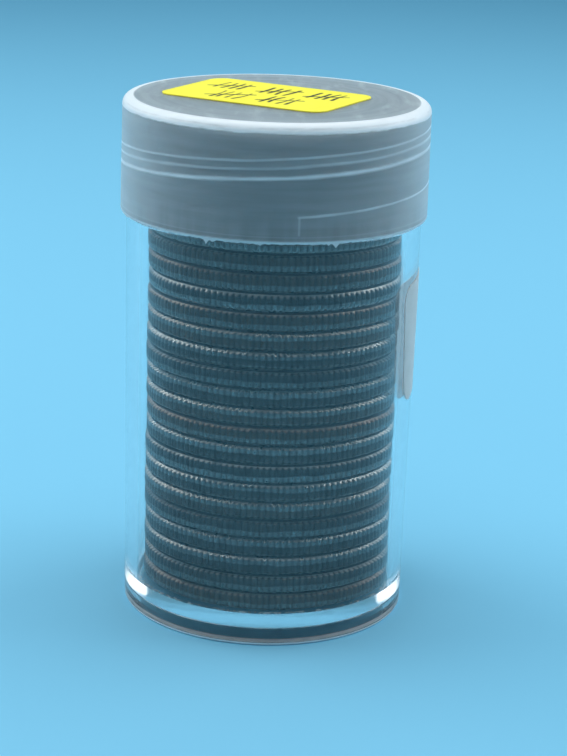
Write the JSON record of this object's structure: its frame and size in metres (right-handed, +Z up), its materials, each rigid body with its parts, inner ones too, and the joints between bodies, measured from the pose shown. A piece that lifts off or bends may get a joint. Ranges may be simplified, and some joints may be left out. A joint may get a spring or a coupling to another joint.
{
  "type": "coin tube",
  "caption": "Clear round screw-cap tube packed with a stack of reeded coins, with paper labels on its cap and side.",
  "frame": {"origin": "middle of the tube's foot, on the surface that it stands on", "axes": "+Z up the tube's axis towards the cap, -Y towards the front of the picture, +X to its right"},
  "size_m": [0.032, 0.032, 0.0547],
  "materials": {
    "clear_tube": "gloss",
    "cloudy_cap": "satin",
    "yellow_label": "matte",
    "white_label": "matte",
    "clad_coin": "satin"
  },
  "bodies": {
    "tube": {"tube": "clear_tube", "side_label": "white_label"},
    "coins": {"coin_01": "clad_coin", "coin_02": "clad_coin", "coin_03": "clad_coin", "coin_04": "clad_coin", "coin_05": "clad_coin", "coin_06": "clad_coin", "coin_07": "clad_coin", "coin_08": "clad_coin", "coin_09": "clad_coin", "coin_10": "clad_coin", "coin_11": "clad_coin", "coin_12": "clad_coin", "coin_13": "clad_coin", "coin_14": "clad_coin", "coin_15": "clad_coin", "coin_16": "clad_coin", "coin_17": "clad_coin", "coin_18": "clad_coin", "coin_19": "clad_coin", "coin_20": "clad_coin", "coin_21": "clad_coin", "coin_22": "clad_coin", "coin_23": "clad_coin", "coin_24": "clad_coin", "coin_25": "clad_coin"},
    "cap": {"cap": "cloudy_cap", "cap_label": "yellow_label"}
  },
  "joints": [
    {"name": "cap_turn", "type": "hinge", "parent": "tube", "child": "coins", "pos_m": [0, 0, 0], "axis": [0, 0, 1], "range_deg": [0, 810]},
    {"name": "cap_rise", "type": "slide", "parent": "coins", "child": "cap", "axis": [0, 0, 1], "range_m": [0, 0.01306]}
  ],
  "couplings": [
    {"joint": "cap_rise", "follows": "cap_turn", "m_per_rad": 0.0009231}
  ]
}
